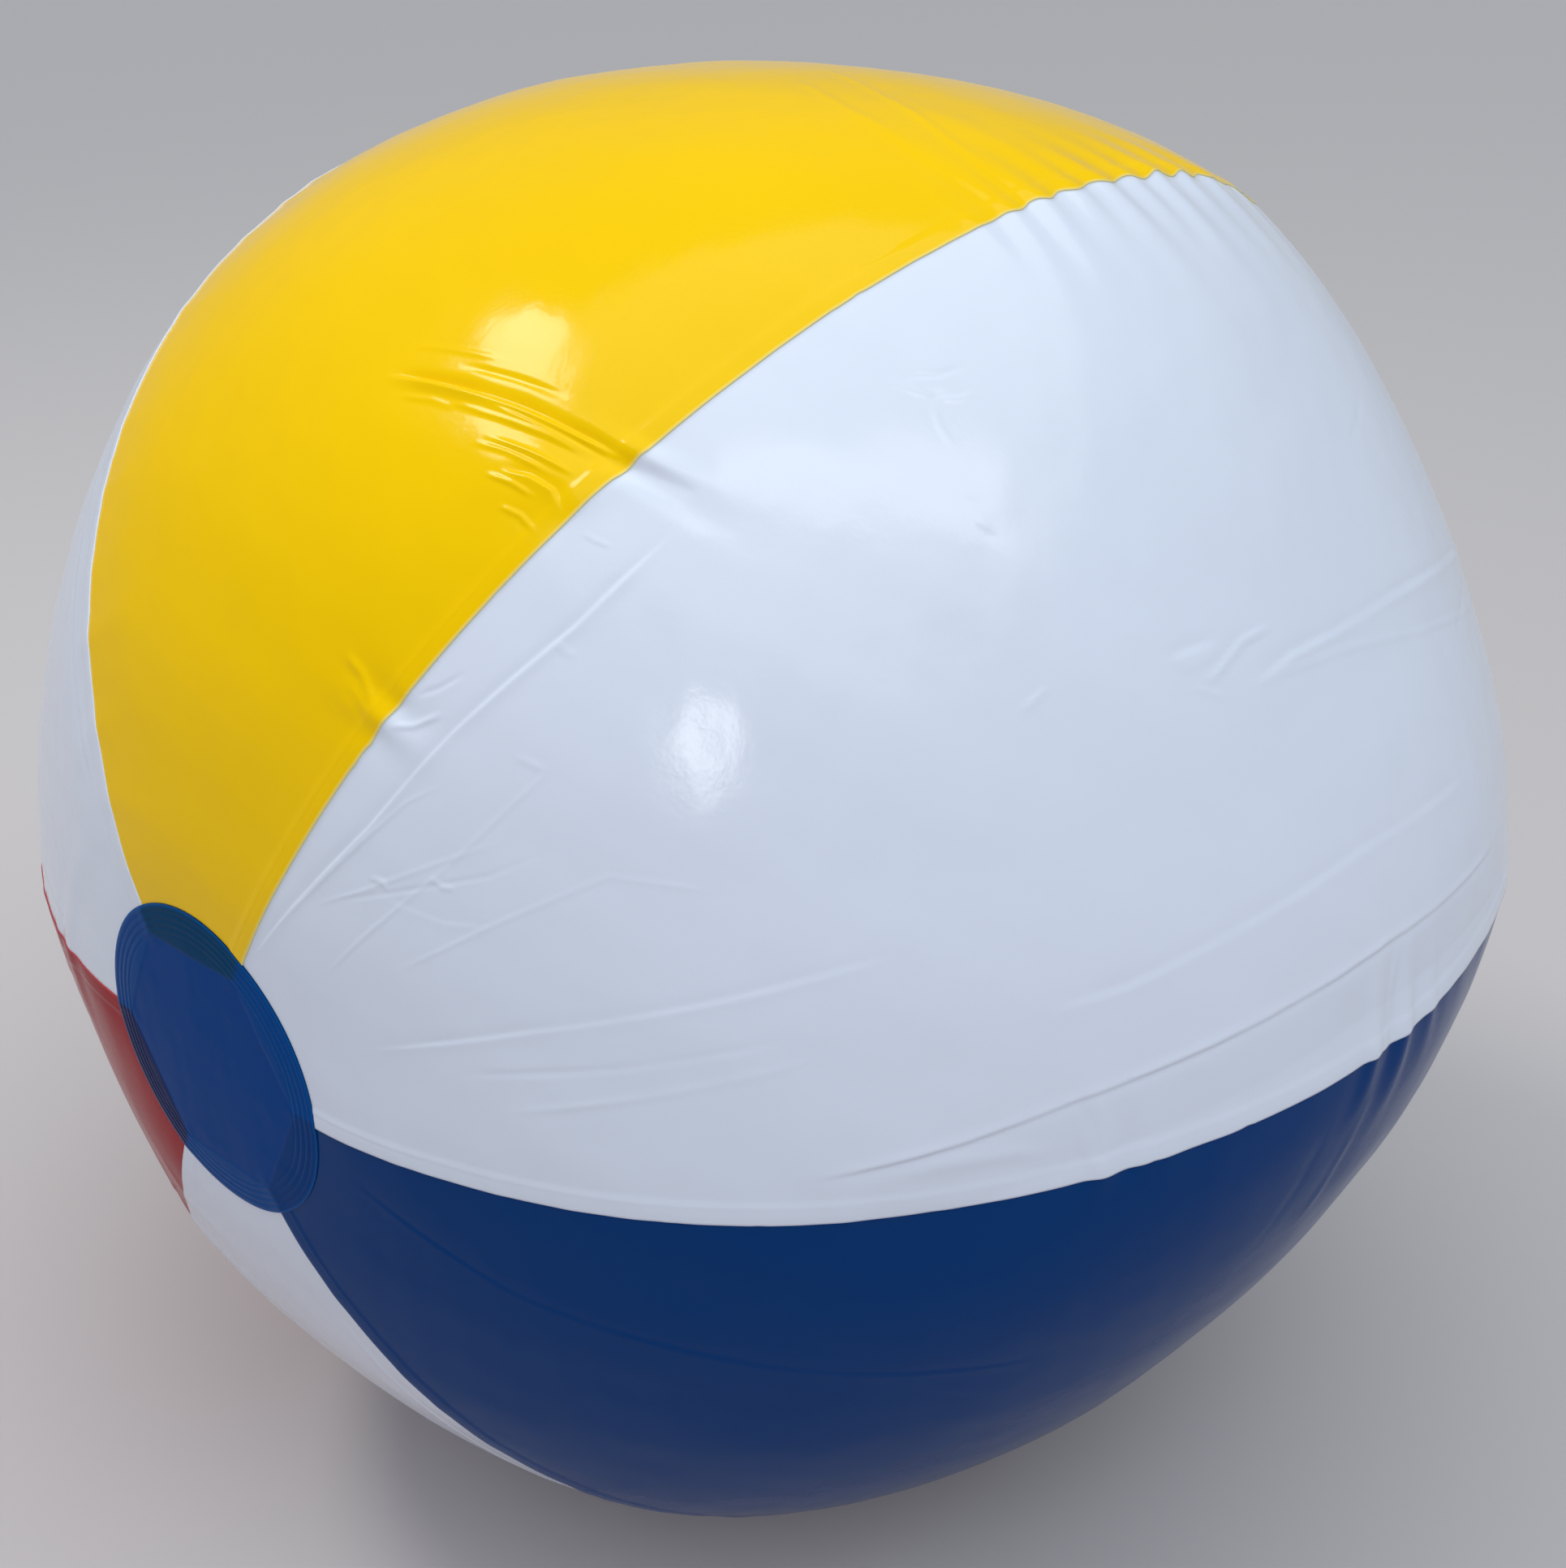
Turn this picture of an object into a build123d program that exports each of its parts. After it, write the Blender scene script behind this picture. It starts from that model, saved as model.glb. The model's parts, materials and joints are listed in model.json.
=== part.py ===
from math import cos, radians, sin
import os

from build123d import *

# Inflatable beach ball. The axis through the two end discs lies along Y, the ball rests on -Z.

# Ball
ball_mean_diameter = 396.0
seam_ridge_ratio = 0.022
pole_height_ratio = 0.9646
film_thickness = 0.3
panel_count = 6

# End discs and gore tips
end_disc_diameter = 77.2
tip_weld_width = 10.6
pole_flat_margin = 1.4
shoulder_turn = 45.0

# Lap seams
lap_width = 6.0
lap_root_width = 1.0

# Floor contact
floor_flat_depth = 1.2

# Valve place and flange
valve_tilt = 35.0
valve_hole_radius = 12.0
flange_lip = 1.6
flange_weld_width = 7.0
flange_thickness = 0.8

# Valve stem, heights from the film's outer face along the valve's own axis
stem_radius = 5.0
stem_bore_radius = 3.5
stem_top = -2.0
stem_length = 14.0
foot_width = 1.4
foot_thickness = 0.8
skirt_thickness = 0.65
skirt_foot_inset = 0.4

# Valve plug, strap and check flap
plug_clearance = 0.1
plug_taper = 0.9
plug_depth = 4.5
cap_overhang = 0.6
cap_thickness = 1.6
pull_tab_rim_gap = 3.0
pull_tab_width = 5.0
hinge_rim_gap = 3.6
hinge_radius = 0.75
knuckle_half_width = 1.0
knuckle_gap = 0.1
ear_width = 1.2
ear_thickness = 1.1
strap_gap = 0.4
strap_thickness = 0.9
flap_overlap = 1.1
flap_thickness = 0.4
flap_tab_width = 3.0
flap_hinge_reach = 0.4

# Derived ball sizes
mean_radius = ball_mean_diameter / 2
seam_radius = mean_radius * (1 + seam_ridge_ratio)
centre_radius = mean_radius * (1 - seam_ridge_ratio)
pole_height = mean_radius * pole_height_ratio
half_angle = 180.0 / panel_count
end_disc_radius = end_disc_diameter / 2
tip_opening = end_disc_radius - tip_weld_width
pole_flat_radius = end_disc_radius + pole_flat_margin
floor_level = -(centre_radius - floor_flat_depth)

# Cross arc of a panel: through both seams and the panel's middle
half_chord = seam_radius * sin(radians(half_angle))
bow = centre_radius - seam_radius * cos(radians(half_angle))
bow_radius = (half_chord**2 + bow**2) / (2 * bow)
axis_drop = bow_radius - centre_radius

# Lengthwise arcs of a panel: the shoulder arc turns from the flat pole to the belt arc
belt_turn = 90.0 - shoulder_turn
turn_sin = sin(radians(belt_turn))
turn_cos = cos(radians(belt_turn))
belt_share = (1 - turn_cos) / turn_sin
shoulder_span = centre_radius - pole_flat_radius - belt_share * pole_height
shoulder_radius = shoulder_span / (turn_cos - belt_share * (1 - turn_sin))
belt_radius = (pole_height - (1 - turn_sin) * shoulder_radius) / turn_sin

# Cutting bodies reach past the ball by these lengths
wedge_reach = 1.5 * mean_radius
block_length = 2.4 * mean_radius

# Derived valve sizes
flange_inner_radius = valve_hole_radius - flange_lip
flange_outer_radius = valve_hole_radius + flange_weld_width
foot_radius = stem_radius + foot_width
stem_bottom = stem_top - stem_length
foot_top = stem_bottom + foot_thickness
plug_root_radius = stem_bore_radius - plug_clearance
plug_tip_radius = plug_root_radius - plug_taper
cap_radius = stem_radius + cap_overhang
pull_tab_end = valve_hole_radius - pull_tab_rim_gap
hinge_x = valve_hole_radius - hinge_rim_gap
ear_inner = knuckle_half_width + knuckle_gap
ear_middle = ear_inner + ear_width / 2
flap_radius = stem_bore_radius + flap_overlap
flap_hinge_x = flap_radius + flap_hinge_reach
skirt_top_radius = valve_hole_radius
skirt_foot_radius = foot_radius - skirt_foot_inset
valve_cut_length = flange_outer_radius
valve_room_length = 4 * stem_length

# Each panel's name and the angle of its middle, turned from +Z towards +X
panels = [
    ("panel_yellow", 0.0),
    ("panel_white_right", 60.0),
    ("panel_blue", 120.0),
    ("panel_white_bottom", 180.0),
    ("panel_red", 240.0),
    ("panel_white_left", 300.0),
]
bottom_angle = 180.0
valve_angle = 300.0


def outward(angle):
    """Unit vector square to the ball's axis, turned from +Z towards +X."""
    return Vector(sin(radians(angle)), 0, cos(radians(angle)))


# Valve frame: origin on the film's outer face, z outward, x down the slope away from the pole
valve_side = outward(valve_angle)
pole_side = Vector(0, 1, 0)
valve_normal = valve_side * sin(radians(valve_tilt)) + pole_side * cos(radians(valve_tilt))
valve_slope = valve_side * cos(radians(valve_tilt)) - pole_side * sin(radians(valve_tilt))
arc_centre = valve_side * pole_flat_radius + pole_side * (pole_height - shoulder_radius)
valve_origin = arc_centre + valve_normal * shoulder_radius
valve_plane = Plane(origin=valve_origin, x_dir=valve_slope, z_dir=valve_normal)

# Section through the valve: x down the slope, y outward
valve_section = Plane(
    origin=valve_origin,
    x_dir=valve_slope,
    z_dir=valve_slope.cross(valve_normal),
)
valve_axis = Axis(valve_origin, valve_normal)


def bowed_body(angle, inset):
    """Solid inside one panel's bowed surface, taken inward by inset."""
    side = outward(angle)
    plane = Plane(origin=(0, 0, 0), x_dir=side, z_dir=side.cross(pole_side))
    top = pole_height - inset
    arc_height = pole_height - shoulder_radius
    belt_centre = centre_radius - belt_radius
    with BuildPart() as body:
        with BuildSketch(plane):
            with BuildLine():
                Line((-axis_drop, -top), (-axis_drop, top))
                Line((-axis_drop, top), (pole_flat_radius, top))
                CenterArc((pole_flat_radius, arc_height), shoulder_radius - inset, 90, -shoulder_turn)
                CenterArc((belt_centre, 0), belt_radius - inset, belt_turn, -2 * belt_turn)
                CenterArc(
                    (pole_flat_radius, -arc_height),
                    shoulder_radius - inset,
                    -belt_turn,
                    -shoulder_turn,
                )
                Line((pole_flat_radius, -top), (-axis_drop, -top))
            make_face()
        revolve(axis=Axis(side * -axis_drop, pole_side))
        if angle == bottom_angle:
            with Locations((0, 0, floor_level + inset)):
                Box(
                    mean_radius,
                    mean_radius,
                    mean_radius,
                    align=(Align.CENTER, Align.CENTER, Align.MAX),
                    mode=Mode.SUBTRACT,
                )
    return body.part


def axial_block(angle, outline):
    """Block along the ball's axis; outline x is outward at the angle, y towards the next panel."""
    start = pole_side * (-block_length / 2)
    plane = Plane(origin=start, x_dir=outward(angle), z_dir=pole_side)
    with BuildPart() as block:
        with BuildSketch(plane):
            with BuildLine():
                Polyline(*outline, close=True)
            make_face()
        extrude(amount=block_length)
    return block.part


def tip_cutter(angle):
    """Six-sided prism along the ball's axis; one flat side faces the panel at the angle."""
    plane = Plane(origin=(0, 0, 0), x_dir=outward(angle), z_dir=pole_side)
    with BuildPart() as cutter:
        with BuildSketch(plane):
            RegularPolygon(tip_opening, panel_count, major_radius=False, rotation=half_angle)
        extrude(amount=block_length / 2, both=True)
    return cutter.part


def layer(angle, inner, outer, block):
    """Film layer between two insets of a panel's surface, kept inside a block."""
    outside = bowed_body(angle, inner)
    inside = bowed_body(angle, outer)
    with BuildPart() as film:
        add(outside)
        add(block, mode=Mode.INTERSECT)
        add(inside, mode=Mode.SUBTRACT)
    return film.part


def make_panel(name, angle):
    """One gore panel with the lap flange that runs under the panel before it."""
    reach = wedge_reach
    side = reach * sin(radians(half_angle))
    ahead = reach * cos(radians(half_angle))
    wedge = axial_block(angle, [(0, 0), (ahead, -side), (ahead, side)])
    seam = angle - half_angle
    root = axial_block(seam, [(0, 0), (reach, 0), (reach, lap_root_width), (0, lap_root_width)])
    lap = axial_block(seam, [(0, -lap_width), (reach, -lap_width), (reach, 0), (0, 0)])
    tips = tip_cutter(angle)
    skin = layer(angle, 0, film_thickness, wedge)
    lap_root = layer(angle, film_thickness, 2 * film_thickness, root)
    lap_flange = layer(angle - 2 * half_angle, film_thickness, 2 * film_thickness, lap)
    with BuildPart() as panel:
        add(skin)
        add(lap_root)
        add(lap_flange)
        add(tips, mode=Mode.SUBTRACT)
        if angle == valve_angle:
            with Locations(valve_plane):
                Cylinder(valve_hole_radius, valve_cut_length, mode=Mode.SUBTRACT)
    panel.part.label = name
    return panel.part


def make_end_disc(name, facing):
    """Flat film disc welded over the gore tips at one pole."""
    plane = Plane(origin=(0, facing * pole_height, 0), x_dir=(1, 0, 0), z_dir=(0, facing, 0))
    with BuildPart() as disc:
        with BuildSketch(plane):
            Circle(end_disc_radius)
        extrude(amount=film_thickness)
    disc.part.label = name
    return disc.part


def make_valve_flange():
    """Weld ring of the valve, following the underside of the film around the hole."""
    inner = film_thickness + flange_thickness
    with BuildPart() as ring:
        with Locations(valve_plane):
            Cylinder(flange_outer_radius, valve_cut_length)
            Cylinder(flange_inner_radius, valve_cut_length, mode=Mode.SUBTRACT)
    flange = layer(valve_angle, film_thickness, inner, ring.part)
    flange.label = "valve_flange"
    return flange


def make_valve_skirt():
    """Soft funnel between the flange and the foot of the stem."""
    outline = [
        (skirt_top_radius, 0),
        (skirt_foot_radius, foot_top),
        (skirt_foot_radius - skirt_thickness, foot_top),
        (skirt_top_radius - skirt_thickness, 0),
    ]
    inside = bowed_body(valve_angle, film_thickness + flange_thickness)
    with BuildPart() as room:
        with Locations(valve_plane):
            Cylinder(flange_outer_radius, valve_room_length)
        add(inside, mode=Mode.INTERSECT)
    with BuildPart() as skirt:
        with BuildSketch(valve_section):
            with BuildLine():
                Polyline(*outline, close=True)
            make_face()
        revolve(axis=valve_axis)
        add(room.part, mode=Mode.INTERSECT)
    skirt.part.label = "valve_skirt"
    return skirt.part


def make_valve_stem():
    """Tube that is blown into, with the foot that the skirt is joined to."""
    outline = [
        (stem_bore_radius, stem_top),
        (stem_radius, stem_top),
        (stem_radius, foot_top),
        (foot_radius, foot_top),
        (foot_radius, stem_bottom),
        (stem_bore_radius, stem_bottom),
    ]
    with BuildPart() as stem:
        with BuildSketch(valve_section):
            with BuildLine():
                Polyline(*outline, close=True)
            make_face()
        revolve(axis=valve_axis)
    stem.part.label = "valve_stem"
    return stem.part


def make_plug_strap():
    """Short strap on the stem's wall, ending in the knuckle that the plug turns on."""
    strap_top = stem_top - strap_gap
    with BuildPart() as strap:
        with BuildSketch(valve_section):
            with Locations((stem_bore_radius, strap_top)):
                Rectangle(
                    hinge_x - stem_bore_radius,
                    strap_thickness,
                    align=(Align.MIN, Align.MAX),
                )
            with Locations((hinge_x, stem_top)):
                Circle(hinge_radius)
        extrude(amount=knuckle_half_width, both=True)
        with Locations(valve_plane):
            Cylinder(stem_radius, valve_room_length, mode=Mode.SUBTRACT)
    strap.part.label = "plug_strap"
    return strap.part


def make_valve_plug():
    """Cap with a tapered nub, a pull tab and the two ears of its hinge."""
    outline = [
        (0, stem_top - plug_depth),
        (plug_tip_radius, stem_top - plug_depth),
        (plug_root_radius, stem_top),
        (cap_radius, stem_top),
        (cap_radius, stem_top + cap_thickness),
        (0, stem_top + cap_thickness),
    ]
    with BuildPart() as plug:
        with BuildSketch(valve_section):
            with BuildLine():
                Polyline(*outline, close=True)
            make_face()
        revolve(axis=valve_axis)
        with BuildSketch(valve_section):
            with Locations((0, stem_top)):
                Rectangle(
                    pull_tab_end,
                    cap_thickness,
                    align=(Align.MAX, Align.MIN),
                )
        extrude(amount=pull_tab_width / 2, both=True)
        for turn in (-1, 1):
            ear_plane = valve_section.offset(turn * ear_middle)
            with BuildSketch(ear_plane):
                with Locations((0, stem_top)):
                    Rectangle(hinge_x, ear_thickness, align=(Align.MIN, Align.MIN))
                with Locations((hinge_x, stem_top)):
                    Circle(hinge_radius)
            extrude(amount=ear_width / 2, both=True)
    plug.part.label = "valve_plug"
    return plug.part


def make_check_flap():
    """Thin flap under the stem that closes its inner end."""
    plane = valve_plane.offset(stem_bottom)
    with BuildPart() as flap:
        with BuildSketch(plane):
            Circle(flap_radius)
            Rectangle(flap_hinge_x, flap_tab_width, align=(Align.MIN, Align.CENTER))
        extrude(amount=-flap_thickness)
    flap.part.label = "check_flap"
    return flap.part


parts = [make_panel(name, angle) for name, angle in panels]
parts.append(make_end_disc("end_disc_front", -1))
parts.append(make_end_disc("end_disc_back", 1))
parts.append(make_valve_flange())
parts.append(make_valve_skirt())
parts.append(make_valve_stem())
parts.append(make_plug_strap())
parts.append(make_valve_plug())
parts.append(make_check_flap())

os.makedirs("parts", exist_ok=True)
for part in parts:
    export_step(part, f"parts/{part.label}.step")
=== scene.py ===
import json
import math

import bmesh
import bpy
import numpy as np
from mathutils import Matrix, Vector


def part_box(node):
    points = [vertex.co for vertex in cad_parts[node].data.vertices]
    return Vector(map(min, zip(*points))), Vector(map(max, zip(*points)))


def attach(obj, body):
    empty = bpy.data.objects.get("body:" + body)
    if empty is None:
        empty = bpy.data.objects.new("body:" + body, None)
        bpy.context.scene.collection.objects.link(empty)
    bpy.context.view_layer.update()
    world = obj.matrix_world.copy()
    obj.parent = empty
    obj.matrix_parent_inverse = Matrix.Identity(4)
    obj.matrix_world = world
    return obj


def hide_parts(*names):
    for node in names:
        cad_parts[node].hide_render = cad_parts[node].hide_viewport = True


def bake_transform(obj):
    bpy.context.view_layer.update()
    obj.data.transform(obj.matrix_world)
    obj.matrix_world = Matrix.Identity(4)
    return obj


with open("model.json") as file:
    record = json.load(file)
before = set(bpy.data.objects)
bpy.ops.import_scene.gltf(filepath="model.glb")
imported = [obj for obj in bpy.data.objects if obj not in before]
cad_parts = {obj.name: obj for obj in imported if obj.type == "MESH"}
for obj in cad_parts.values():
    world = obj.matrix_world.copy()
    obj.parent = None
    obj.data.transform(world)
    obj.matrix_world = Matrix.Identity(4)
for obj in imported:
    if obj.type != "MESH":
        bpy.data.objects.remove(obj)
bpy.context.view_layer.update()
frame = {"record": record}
rng = np.random.default_rng(20)
mm = 0.001

# ------------------------------------------------------------------ sizes from the frame
# Polar axis along Y. Polar angle 0 is the front disc (-Y); azimuth turns from +Z towards +X.
top_share = 0.978  # height of the yellow panel's middle over the mean radius
mean_radius = float(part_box("panel_yellow")[1][2]) / top_share
pole = float(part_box("end_disc_back")[0][1])
disc_radius = float(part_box("end_disc_back")[1][0])
floor_z = float(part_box("panel_white_bottom")[0][2])
film = 0.5 * mm  # shown thickness, more than the real 0.3 mm so that edges can be seen

# Middle of each panel, as azimuth in degrees.
PANELS = {
    "panel_yellow": 0,
    "panel_white_right": 60,
    "panel_blue": 120,
    "panel_white_bottom": 180,
    "panel_red": 240,
    "panel_white_left": 300,
}

# The valve has its own axes: x down the slope, y across, z outward along the stem.
joints = {j["name"]: j for j in frame["record"]["behaviour"]["joints"]}
valve_n = Vector(joints["stem_slide"]["axis"]).normalized()
valve_y = Vector(joints["plug_hinge"]["axis"]).normalized()
valve_x = valve_y.cross(valve_n).normalized()
plug_pivot = Vector(joints["plug_hinge"]["pos_m"])
hinge_x, hinge_z = 8.4, -2.0  # plug hinge in valve millimetres
VO = np.array(plug_pivot - valve_x * hinge_x * mm - valve_n * hinge_z * mm)
VX = np.array(valve_x)
VY = np.array(valve_y)
VN = np.array(valve_n)


def smooth(a, b, x):
    """Soft step from 0 at a to 1 at b."""
    t = np.clip((x - a) / (b - a), 0.0, 1.0)
    return t * t * (3 - 2 * t)


def wrap(a):
    """Angle brought between minus half a turn and half a turn."""
    return (a + math.pi) % (2 * math.pi) - math.pi


# ------------------------------------------------------------------ the blown-up shape
def base_radius(theta, azimuth):
    """Distance of the film from the ball's centre, without any wrinkles."""
    across = wrap(azimuth * 6) / 6
    # the outline from pole to pole, as waves along the polar angle
    lengthwise = (
        1
        - 0.0097 * (np.cos(2 * theta) + 1)
        - 0.0150 * (np.cos(4 * theta) - 1)
        - 0.0035 * (np.cos(6 * theta) + 1)
    )
    # the seams stand out as soft corners, and the gores between them are flatter than a sphere
    seam_softness = 0.02
    corner = np.sqrt(np.cos(3 * across) ** 2 + seam_softness**2)
    bow = 0.0354 * (0.5 - corner) - 0.0041 * np.cos(6 * across)
    r = mean_radius * lengthwise * (1 + bow * np.sin(theta) ** 2)
    # the poles are flat under the end discs
    bend = 1.2 * mm
    reach = np.abs(r * np.cos(theta))
    capped = -bend * np.logaddexp(-reach / bend, -pole / bend)
    capped = np.minimum(capped, pole - 0.1 * mm)
    return np.where(reach > 50 * mm, r * capped / np.maximum(reach, 1e-6), r)


# Puckers that start at a seam: seam azimuth, polar angle, height, half-width, reach before
# and after the seam, slant. Angles in degrees, lengths in millimetres.
PUCKERS = [
    (30, 32.2, 1.1, 2.6, 11, 9, 0.15),
    (30, 33.6, -0.5, 2.2, 8, 7, 0.1),
    (30, 51.8, -1.2, 2.4, 20, 16, 0.30),
    (30, 53.0, 0.8, 2.2, 11, 10, 0.25),
    (30, 49.2, 1.0, 5.2, 15, 3, 0.30),
    (30, 79.2, 0.35, 3.0, 16, 12, -0.15),
    (30, 82.2, 0.7, 3.0, 44, 15, -0.12),
    (30, 85.0, 1.0, 3.4, 20, 20, -0.05),
    (30, 88.4, 0.8, 3.4, 34, 18, 0.0),
    (30, 91.4, 1.2, 3.8, 17, 25, 0.10),
    (30, 94.9, 0.8, 3.4, 22, 17, 0.12),
    (30, 98.0, 1.25, 4.0, 16, 26, 0.15),
    (30, 102.0, 0.9, 3.8, 20, 18, 0.18),
    (30, 106.4, 1.0, 4.2, 15, 22, 0.2),
    (90, 61.4, 1.1, 2.8, 15, 5, 0.05),
    (90, 63.2, -0.6, 2.4, 11, 4, 0.0),
    (90, 83.6, 1.0, 2.4, 17, 15, -0.1),
    (90, 85.6, -0.7, 2.0, 14, 10, -0.1),
    (90, 87.4, 1.0, 2.6, 15, 20, -0.1),
    (90, 91.0, 0.6, 3.0, 18, 14, 0.0),
]
# Small random puckers along every seam, larger on the seams out of view.
for seam in (30, 90, 150, 210, 270, 330):
    hidden = seam in (210, 270)
    for place in np.arange(20, 162, 5.2):
        place = place + rng.uniform(-1.8, 1.8)
        big = rng.uniform(0.1, 0.45) * (1.8 if hidden or place > 108 else 1.0)
        if seam == 30 and (place < 57 or 76 < place < 109):
            continue
        if seam in (90, 150) and place < 120:
            big = big * 0.5
        reach = rng.uniform(9, 26, 2) * (1.5 if big > 0.5 else 1.0)
        PUCKERS.append(
            (seam, place, big, rng.uniform(2.4, 4.2), reach[0], reach[1], rng.uniform(-0.25, 0.25))
        )

# Creases left by the folded pack: kind, height, half-width, then points as (polar angle,
# azimuth) in degrees. The first ones are those in view, the rest are spread over the ball.
CREASES = [
    # fold cluster on the yellow panel
    ("step", 0.95, 0.62, [(48.3, 6), (49.6, 14), (50.6, 20), (51.4, 25.5), (52.2, 30)]),
    ("ridge", 0.42, 0.75, [(48.4, 13), (49.2, 18), (50.3, 24), (51.0, 28.6)]),
    ("step", 0.40, 0.50, [(49.7, 17), (50.4, 22), (51.1, 27), (51.5, 29.6)]),
    ("ridge", 0.46, 0.70, [(48.0, 19), (48.9, 23.6), (49.7, 28.6)]),
    ("ridge", 0.42, 0.60, [(47.3, 18.6), (48.1, 22.0), (48.7, 26.4)]),
    ("step", 0.46, 0.55, [(47.0, 22.4), (47.9, 25.2), (48.2, 27.6), (47.6, 29.4)]),
    ("ridge", 0.36, 0.60, [(46.3, 21.6), (46.9, 24.4), (47.2, 27.2)]),
    ("groove", 0.34, 1.00, [(50.8, 12), (51.8, 17.5), (52.8, 23.5)]),
    ("ridge", 0.20, 0.80, [(47.4, 9), (48.2, 12.6), (48.5, 15.6)]),
    ("ridge", 0.16, 0.80, [(50.6, 6), (51.6, 11), (52.7, 17)]),
    ("ridge", 0.32, 0.60, [(45.4, 24.6), (45.9, 27.0), (45.8, 29.2)]),
    # the same fold going on in the white panel
    ("groove", 0.40, 1.3, [(52.3, 30.2), (53.0, 32.6), (53.9, 35.4)]),
    ("ridge", 0.14, 1.0, [(51.4, 30.6), (52.0, 33.0), (52.8, 35.4)]),
    ("ridge", 0.14, 0.5, [(47.6, 31.4), (47.9, 32.8), (48.4, 34.2)]),
    # folds next to the small pucker near the disc
    ("ridge", 0.50, 0.9, [(33.4, 20.6), (33.2, 24.4), (32.3, 28.8)]),
    ("groove", 0.30, 1.0, [(31.8, 23.0), (31.6, 26.4), (31.2, 28.8)]),
    ("ridge", 0.34, 0.7, [(32.2, 30.8), (33.4, 33.0), (35.4, 34.6)]),
    ("groove", 0.22, 0.6, [(34.6, 31.0), (36.0, 32.4), (38.0, 33.4)]),
    # long pack creases along the white panel
    ("step", 0.24, 0.5, [(12.5, 33.0), (20, 35.6), (27, 36.9), (35, 36.4), (44, 36.8), (52, 36.0)]),
    ("ridge", 0.12, 0.5, [(16, 35.0), (23, 37.0), (30, 38.2), (34, 40.4)]),
    ("step", -0.34, 0.5, [(44, 86.4), (53, 85.0), (60, 83.9), (70, 83.4), (85, 82.9), (104, 84)]),
    ("step", 0.14, 0.8, [(58, 77), (64, 77.4), (70, 77.0), (84, 76.2), (100, 77)]),
    # fan of faint creases from the disc
    ("ridge", 0.15, 0.5, [(17, 50), (22, 48.0), (30, 46.9), (39.5, 44.8)]),
    ("ridge", 0.15, 0.5, [(19.5, 37.3), (24, 42.5), (29.5, 46.0), (34.6, 48.4)]),
    ("groove", 0.14, 0.5, [(21, 39.3), (26, 45.6), (31.7, 50.2), (37, 51.5)]),
    ("step", 0.06, 0.5, [(24.6, 42.6), (25.6, 47), (27.6, 52), (31, 56)]),
    ("ridge", 0.13, 0.5, [(22, 55), (31, 55.2), (38, 55.8), (44, 61.5)]),
    ("step", 0.12, 0.5, [(18, 66), (30, 68), (42, 69.5), (52, 70)]),
    ("ridge", 0.13, 0.9, [(26, 78), (36, 77), (47, 76)]),
    ("groove", 0.14, 0.8, [(24, 72), (34, 73.6), (45, 74)]),
    ("ridge", 0.30, 0.6, [(24.9, 41.6), (25.6, 43.4), (25.5, 45.2)]),
    ("ridge", 0.26, 0.6, [(28.4, 46.4), (28.8, 48.4), (29.6, 49.8)]),
    # crease pair and hook at the right
    ("step", 0.30, 0.6, [(78.6, 63.3), (83.4, 62.7), (89.4, 62.9), (98, 63), (113.6, 64), (130, 65)]),
    ("ridge", 0.26, 0.7, [(78.6, 63.2), (82.1, 63.5), (89.8, 64.4), (100, 66.4), (110, 68), (126, 70)]),
    ("ridge", 0.46, 0.7, [(74.6, 61.5), (76.1, 61.7), (77.1, 61.4), (79.7, 60.5), (83.2, 60.5)]),
    ("step", 0.22, 0.7, [(73.4, 59.4), (75.4, 59.5), (78.0, 59.8)]),
    ("ridge", 0.20, 0.6, [(73.8, 60.3), (75.8, 60.4), (77.6, 60.4)]),
    ("ridge", 0.24, 0.7, [(74.2, 61.5), (75.5, 62.3), (77.1, 63.5)]),
    ("ridge", 0.20, 0.7, [(62.8, 58.3), (64.0, 57.9), (65.6, 57.4)]),
    # pinched star and short nicks
    ("ridge", 0.26, 0.6, [(66.5, 35.6), (67.6, 37.4), (68.4, 38.4)]),
    ("ridge", 0.22, 0.6, [(68.4, 38.4), (69.6, 39.2), (70.8, 39.4)]),
    ("ridge", 0.22, 0.6, [(68.2, 38.2), (67.6, 39.8), (67.4, 41.8)]),
    ("groove", 0.22, 0.7, [(67.4, 36.0), (69.4, 37.2), (71.6, 37.6)]),
    ("ridge", 0.16, 0.6, [(66.3, 44.2), (67.2, 45.0)]),
    ("ridge", 0.18, 0.6, [(66.2, 46.0), (66.9, 47.6)]),
    ("ridge", 0.26, 0.6, [(42.6, 36.6), (43.0, 39.0)]),
    ("ridge", 0.18, 0.6, [(37.0, 42.0), (38.0, 45.0)]),
    # soft folds on the white panel above the lower seam
    ("ridge", 0.34, 2.0, [(58.5, 87.6), (56.0, 86.6), (52.0, 86.4), (48.0, 86.8)]),
    ("groove", 0.30, 1.4, [(60.0, 83.5), (60.8, 86.5), (61.2, 89.5)]),
    ("ridge", 0.34, 1.1, [(86.4, 83.6), (85.8, 86.6), (85.6, 89.4)]),
    ("ridge", 0.28, 1.0, [(83.6, 84.6), (83.4, 87.0), (83.8, 89.2)]),
    # blue panel
    ("step", 0.13, 0.7, [(14, 103), (20, 107), (27, 109.6), (36, 109.2), (46, 109.6), (62, 110)]),
    ("ridge", 0.26, 1.8, [(84.6, 92), (83.6, 98), (82, 106)]),
    ("groove", 0.16, 2.0, [(80, 93), (79, 99), (77, 106)]),
    # yellow panel, folds running into it from the far pucker cluster
    ("ridge", 0.26, 1.4, [(84.0, 28), (85.6, 22), (88.6, 14), (93, 5)]),
    ("ridge", 0.20, 1.6, [(81.6, 28), (82.4, 22), (84.5, 14), (88, 6)]),
]
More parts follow.
